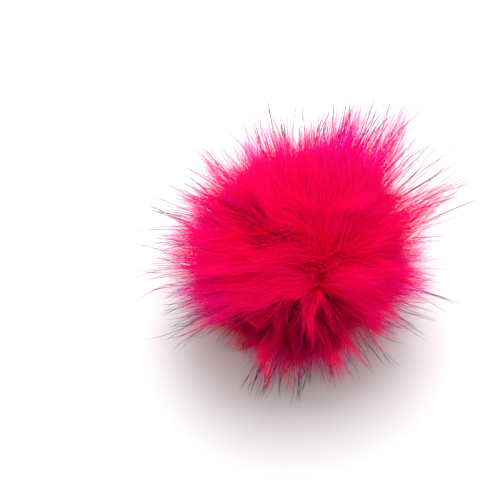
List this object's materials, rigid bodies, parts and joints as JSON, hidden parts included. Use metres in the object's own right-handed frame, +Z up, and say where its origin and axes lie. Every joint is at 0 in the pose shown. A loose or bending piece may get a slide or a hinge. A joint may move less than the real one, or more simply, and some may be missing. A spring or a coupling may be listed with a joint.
{
  "type": "faux fur pom pom",
  "caption": "Round faux-fur pom pom with dense, whorled pile and longer dark-tipped guard hairs, resting on a small flat spot.",
  "frame": {"origin": "centre of the flat spot that the ball rests on", "axes": "+Z up; the whorl, where the pile parts, faces -Y and up, and the longest tuft points to +X and up"},
  "size_m": [0.1392, 0.1148, 0.0924],
  "materials": {
    "fur": "long, glossy, hot pink acrylic pile",
    "guard_hair": "long single hairs, pink at the root and dark grey at the tip"
  },
  "bodies": {
    "root": {"fur_ball": "fur"}
  },
  "joints": []
}
